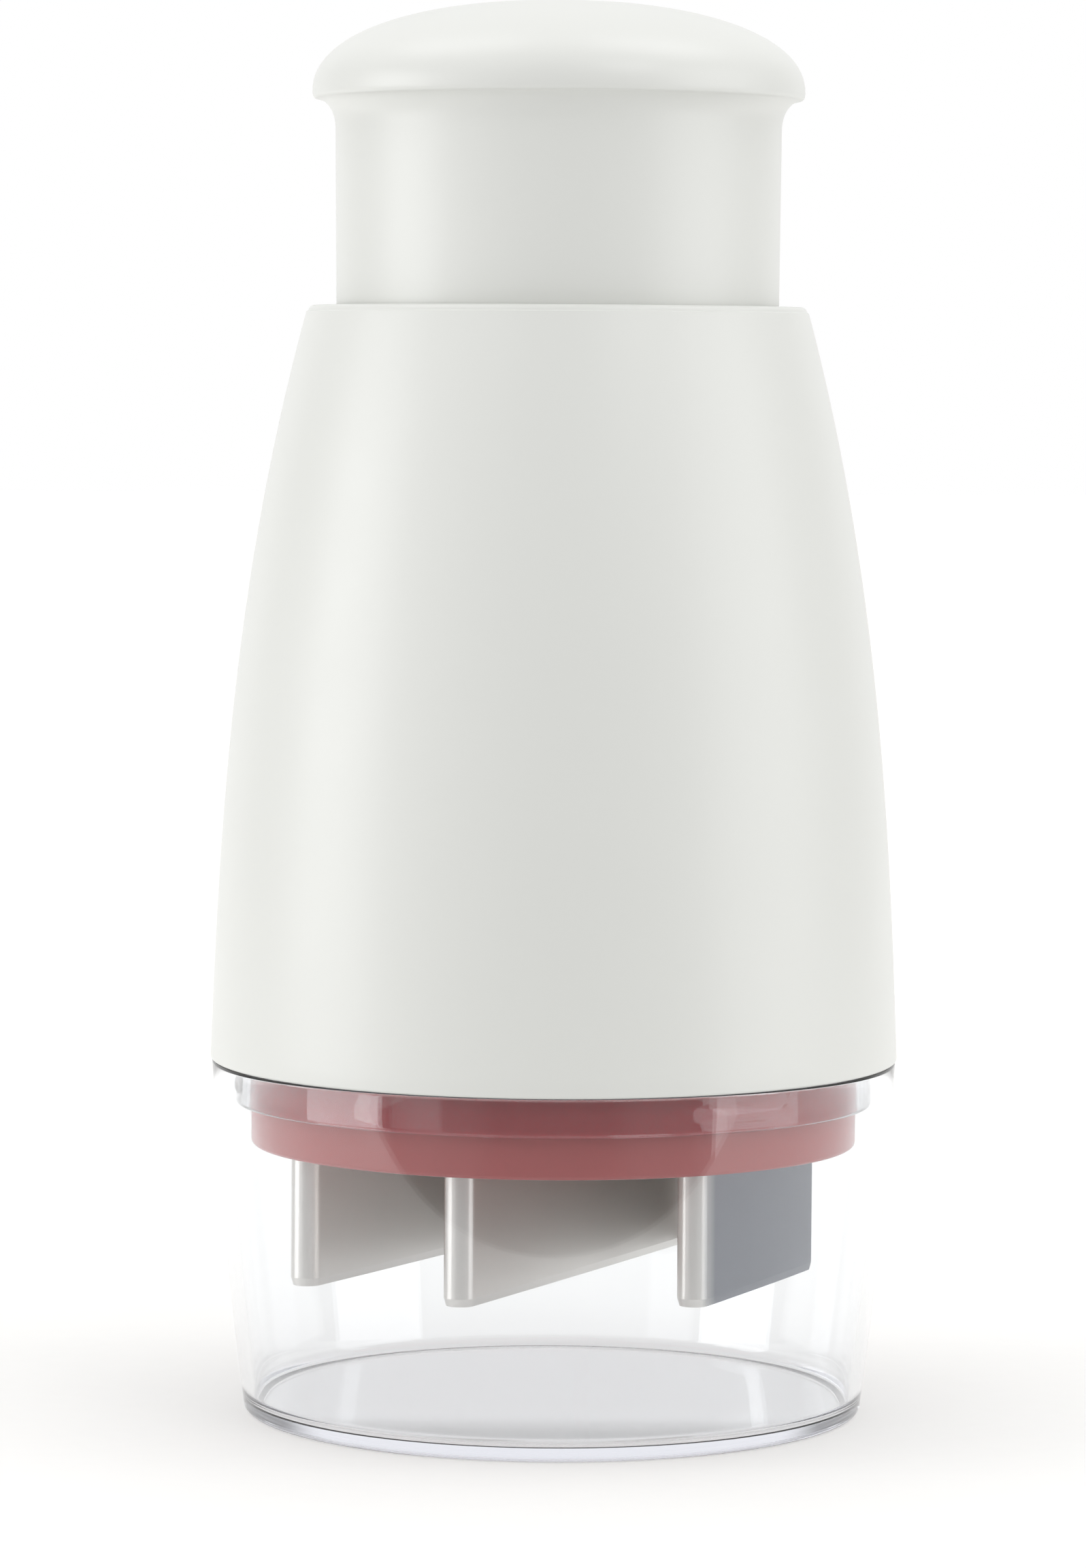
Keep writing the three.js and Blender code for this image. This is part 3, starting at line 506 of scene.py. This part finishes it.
hollow_level = lip_level - lip_depth - hollow_rise
lip_under = [
    (lip_reach - lip_round * (1 - math.cos(t)), lip_level - lip_depth * math.sin(t))
    for t in (0.4, 0.8, 1.2, math.pi / 2)
]
hollow = [
    (sleeve_top + hollow_round - hollow_round * math.cos(t), hollow_level + hollow_rise * math.sin(t))
    for t in [math.pi / 2 * (1 - i / 10) for i in range(11)]
]
knob_outline = [
    *dome(lip_reach, knob_high.z - lip_level, 32),
    *lip_under,
    *[p for p in hollow if p[0] < lip_reach - lip_round],
    (sleeve_foot, knob_low.z),
    (sleeve_foot - sleeve_wall, knob_low.z),
    *dome(sleeve_top - sleeve_wall, knob_high.z - lip_level - dome_wall, 16)[::-1],
]
knob_mesh = turned("press_knob_cap", knob_outline)
piece("press_knob_cap", knob_mesh, white_abs, "plunger", "white_plastic", "press_knob")


# Wiper disc. A shallow dish in red polypropylene, which hangs in the collar ring. The blade comes
# through its zigzag slot and turns it. Its wall is smoother and deep red above, where the collar
# covers it, and more matt below, where its red is painted paler: a painted pale sheen.
wiper_low, wiper_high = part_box("wiper_disc")
wiper_radius = 46.2 * mm
wiper_round = 0.6 * mm
wiper_wall = 2 * mm
wiper_floor = 2.5 * mm
wiper_flange = 1.8 * mm
floor_high = wiper_low.z + wiper_floor
wiper_outline = [
    (0, wiper_low.z),
    *arc(wiper_radius - wiper_round, wiper_low.z + wiper_round, wiper_round, -90, 0, 10),
    (wiper_radius, wiper_high.z - wiper_flange),
    (wiper_high.x, wiper_high.z - wiper_flange),
    (wiper_high.x, wiper_high.z),
    (wiper_radius - wiper_wall, wiper_high.z),
    *arc(wiper_radius - 2 * wiper_wall, floor_high + wiper_wall, wiper_wall, 0, -90, 6),
    (0, floor_high),
]

blade_low, blade_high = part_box("blade_strip")
blade_thick = 0.8 * mm
bend_radius = 2.05 * mm
bend_steps = 12
reach = 39.2 * mm
slot_clear = 0.5 * mm
bends = [(-0.935, -0.36), (-0.18, 0.74), (-0.342, -0.839), (0.566, 0.69), (0.528, -0.809)]
free_ends = [(-0.932, 0.36), (1.01, 0.064)]


def heading_between(a, b):
    """Direction of the straight leg that touches two bends, each passed on its own side."""
    (ax, ay, ar), (bx, by, br) = a, b
    return math.atan2(by - ay, bx - ax) - math.asin((br - ar) / math.hypot(bx - ax, by - ay))


def zigzag(run_on=0.0):
    """Points and left-hand normals along the folded strip, its two ends run on by a length."""
    start, end = [(x * reach, y * reach, 0.0) for x, y in free_ends]
    turns = [(x * reach, y * reach, bend_radius * (-1) ** i) for i, (x, y) in enumerate(bends)]
    stops = [start, *turns, end]
    stations = []

    def station(stop, heading, shift=0.0):
        x, y, side = stop
        across = (-math.sin(heading), math.cos(heading))
        px = x - side * across[0] + shift * across[1]
        py = y - side * across[1] - shift * across[0]
        stations.append((px, py, across))

    heading = heading_between(stops[0], stops[1])
    station(stops[0], heading, -run_on)
    for i in range(1, len(stops) - 1):
        ahead = heading_between(stops[i], stops[i + 1])
        turn = ahead - heading
        side = 1 if stops[i][2] > 0 else -1
        if side * turn < 0:
            turn += side * math.tau
        for k in range(bend_steps + 1):
            station(stops[i], heading + turn * k / bend_steps)
        heading = ahead
    station(stops[-1], heading, run_on)
    return stations


def lofted(name, sections):
    """A mesh through closed sections of points, with a flat cap at each end."""
    maker = bmesh.new()
    rings = [[maker.verts.new(point) for point in section] for section in sections]
    sides = len(rings[0])
    for near, far in zip(rings, rings[1:]):
        for k in range(sides):
            ahead = (k + 1) % sides
            maker.faces.new((near[k], near[ahead], far[ahead], far[k]))
    maker.faces.new(rings[0])
    maker.faces.new(rings[-1][::-1])
    return mesh_from(maker, name)


def folded(name, section, run_on=0.0):
    """A mesh of a closed section of (offset, height) carried along the zigzag."""
    return lofted(
        name,
        [
            [(x + across[0] * offset, y + across[1] * offset, height) for offset, height in section]
            for x, y, across in zigzag(run_on)
        ],
    )


slot_half = blade_thick / 2 + slot_clear
overrun = 1 * mm
slot_section = [
    (-slot_half, wiper_low.z - overrun),
    (slot_half, wiper_low.z - overrun),
    (slot_half, floor_high + overrun),
    (-slot_half, floor_high + overrun),
]
slot_tool = bpy.data.objects.new("slot_tool", folded("slot_tool", slot_section, slot_clear))
dish = bpy.data.objects.new("dish", turned("dish", wiper_outline))
for body in (slot_tool, dish):
    bpy.context.scene.collection.objects.link(body)
cutting = dish.modifiers.new("slot", "BOOLEAN")
cutting.object = slot_tool
cutting.solver = "EXACT"
slotted = dish.evaluated_get(bpy.context.evaluated_depsgraph_get())
wiper_mesh = bpy.data.meshes.new_from_object(slotted)
bpy.data.objects.remove(dish)
bpy.data.objects.remove(slot_tool)
wiper_mesh.name = "wiper"

red_pp, tree, shader = finish_of("red_polypropylene_moulded")
band_edge_low = 47.6 * mm
band_edge_high = 48 * mm
band_matt = 0.04
place = add(tree, "ShaderNodeTexCoord").outputs["Object"]
level = add(tree, "ShaderNodeSeparateXYZ", {0: place}).outputs["Z"]
sheen_and_matt_band = ranged(tree, level, 1.0, 0.0, band_edge_low, band_edge_high)
pigment = tinted(tree, grain(tree, 18 * mm), "FA3E45", "FE4249")
# painted pale sheen: below the band the red is painted paler, towards a pale pink
tree.links.new(tinted(tree, sheen_and_matt_band, pigment, "D97877"), shader.inputs["Base Color"])
gloss = ranged(tree, grain(tree, 6 * mm), 0.16, 0.2)
links = {0: sheen_and_matt_band, 1: band_matt, 2: gloss}
band_roughness = add(tree, "ShaderNodeMath", links, operation="MULTIPLY_ADD")
tree.links.new(band_roughness.outputs[0], shader.inputs["Roughness"])
shader.inputs["IOR"].default_value = 1.49
bumped(tree, shader, grain(tree, 0.8 * mm), 0.004 * mm)

piece("wiper", wiper_mesh, red_pp, "wiper", "red_plastic", "wiper_disc")


# Zigzag blade. One stainless strip folded round pins, satin-brushed along its length, with its
# lower edge ground from both sides to a bright bevel. The last leg, at the right, is painted a
# cooler and darker grey: a painted dark reflection.
grind_height = 1.2 * mm
edge_half = 0.06 * mm
blade_half = blade_thick / 2
blade_section = [
    (-edge_half, blade_low.z),
    (edge_half, blade_low.z),
    (blade_half, blade_low.z + grind_height),
    (blade_half, blade_high.z),
    (-blade_half, blade_high.z),
    (-blade_half, blade_low.z + grind_height),
]

satin_steel, tree, shader = finish_of("stainless_strip_satin")
brushing = grain(tree, 0.12 * mm, (80, 80, 1), 3.0)
leg_side = (1.0, -0.2, 0.0)
leg_start = 28.5 * mm
leg_full = 30 * mm
place = add(tree, "ShaderNodeTexCoord").outputs["Object"]
outward = add(tree, "ShaderNodeVectorMath", {0: place, 1: leg_side}, operation="DOT_PRODUCT")
# painted dark reflection: the last leg, at the right, gets a cooler, darker grey in its colour
painted_reflection_leg = ranged(tree, outward.outputs["Value"], 0.0, 1.0, leg_start, leg_full)
steel_grey = tinted(tree, brushing, "E9E7E3", "ECEAE6")
tree.links.new(tinted(tree, painted_reflection_leg, steel_grey, "868A93"), shader.inputs["Base Color"])
tree.links.new(ranged(tree, brushing, 0.36, 0.42), shader.inputs["Roughness"])
shader.inputs["Metallic"].default_value = 1.0
shader.inputs["Anisotropic"].default_value = 0.75
across_brushing = add(tree, "ShaderNodeCombineXYZ", {"Z": 1.0})
tree.links.new(across_brushing.outputs[0], shader.inputs["Tangent"])
bumped(tree, shader, brushing, 0.0005 * mm)

blade_mesh = folded("blade", blade_section)
piece("blade", blade_mesh, satin_steel, "blade_rotor", "stainless_steel", "blade_strip", crease=15)


# Return spring. One drawn wire wound to eleven curls with closed ends, which stands on the bridge's
# washer inside the sleeve. The knob squeezes it to about two thirds of its length.
spring_low, spring_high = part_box("return_spring")
spring_radius = 12 * mm
wire_radius = 0.8 * mm
closed_gap = 0.5 * mm
spring_curls = 11
curl_steps = 36
wire_sides = 12
closed_rise = 2 * wire_radius + closed_gap
spring_length = spring_high.z - spring_low.z
open_rise = (spring_length - 2 * wire_radius - 2 * closed_rise) / (spring_curls - 2)


def wire_level(turn):
    """Height of the wire's middle after a number of curls; the first and the last are closed."""
    if turn <= 1:
        return spring_low.z + wire_radius + closed_rise * turn
    if turn >= spring_curls - 1:
        return spring_high.z - wire_radius - closed_rise * (spring_curls - turn)
    return spring_low.z + wire_radius + closed_rise + open_rise * (turn - 1)


sections = []
for step in range(spring_curls * curl_steps + 1):
    turn = step / curl_steps
    angle = math.tau * turn
    section = []
    for side in range(wire_sides):
        round_wire = math.tau * side / wire_sides
        radius = spring_radius + wire_radius * math.cos(round_wire)
        height = wire_level(turn) + wire_radius * math.sin(round_wire)
        section.append((radius * math.cos(angle), radius * math.sin(angle), height))
    sections.append(section)

wire, tree, shader = finish_of("spring_wire_drawn")
tree.links.new(tinted(tree, grain(tree, 0.7 * mm), "9C9C9C", "ABABAA"), shader.inputs["Base Color"])
tree.links.new(ranged(tree, grain(tree, 0.4 * mm), 0.25, 0.4), shader.inputs["Roughness"])
shader.inputs["Metallic"].default_value = 1.0

spring_mesh = lofted("spring", sections)
spring = piece("spring", spring_mesh, wire, "housing", "spring_steel", "return_spring")
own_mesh(spring)


# Works inside the bell. Acetal crowns, cage, hub and bridge, a stainless shaft, zinc plated screws
# and washers, a turned brass insert and a rubber bumper keep their CAD shapes.
acetal, tree, shader = finish_of("acetal_natural_moulded")
tree.links.new(tinted(tree, grain(tree, 8 * mm), "D6D6D0", "DEDED9"), shader.inputs["Base Color"])
tree.links.new(ranged(tree, grain(tree, 2 * mm), 0.4, 0.5), shader.inputs["Roughness"])
bumped(tree, shader, grain(tree, 0.5 * mm), 0.01 * mm)

zinc, tree, shader = finish_of("steel_zinc_plated")
tree.links.new(tinted(tree, grain(tree, 1.5 * mm), "A8AAAE", "B6B8BB"), shader.inputs["Base Color"])
tree.links.new(ranged(tree, grain(tree, 0.6 * mm), 0.28, 0.42), shader.inputs["Roughness"])
shader.inputs["Metallic"].default_value = 1.0

brass, tree, shader = finish_of("brass_turned")
turning = grain(tree, 0.3 * mm, (1, 1, 0.4))
tree.links.new(tinted(tree, turning, "B99B58", "C6A966"), shader.inputs["Base Color"])
tree.links.new(ranged(tree, turning, 0.2, 0.35), shader.inputs["Roughness"])
shader.inputs["Metallic"].default_value = 1.0

rubber, tree, shader = finish_of("rubber_moulded")
tree.links.new(tinted(tree, grain(tree, 1.2 * mm), "3C3C3E", "48484A"), shader.inputs["Base Color"])
tree.links.new(ranged(tree, grain(tree, 0.8 * mm), 0.7, 0.85), shader.inputs["Roughness"])
bumped(tree, shader, grain(tree, 0.6 * mm), 0.02 * mm)

inner_finishes = {
    "bridge_plate": acetal,
    "upper_crown": acetal,
    "index_cage": acetal,
    "ratchet_wheel": acetal,
    "rotor_hub": acetal,
    "blade_carrier": red_pp,
    "plunger_shaft": satin_steel,
    "drive_washer": satin_steel,
    "end_washer": satin_steel,
    "end_screw": satin_steel,
    "knob_insert": brass,
    "bumper_ring": rubber,
}
replaced = {
    "clear_cup",
    "clear_collar_ring",
    "housing_shell",
    "press_knob",
    "wiper_disc",
    "blade_strip",
    "return_spring",
}
for node_name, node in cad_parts.items():
    if node_name not in replaced:
        node.data.materials.clear()
        node.data.materials.append(inner_finishes.get(node_name, zinc))
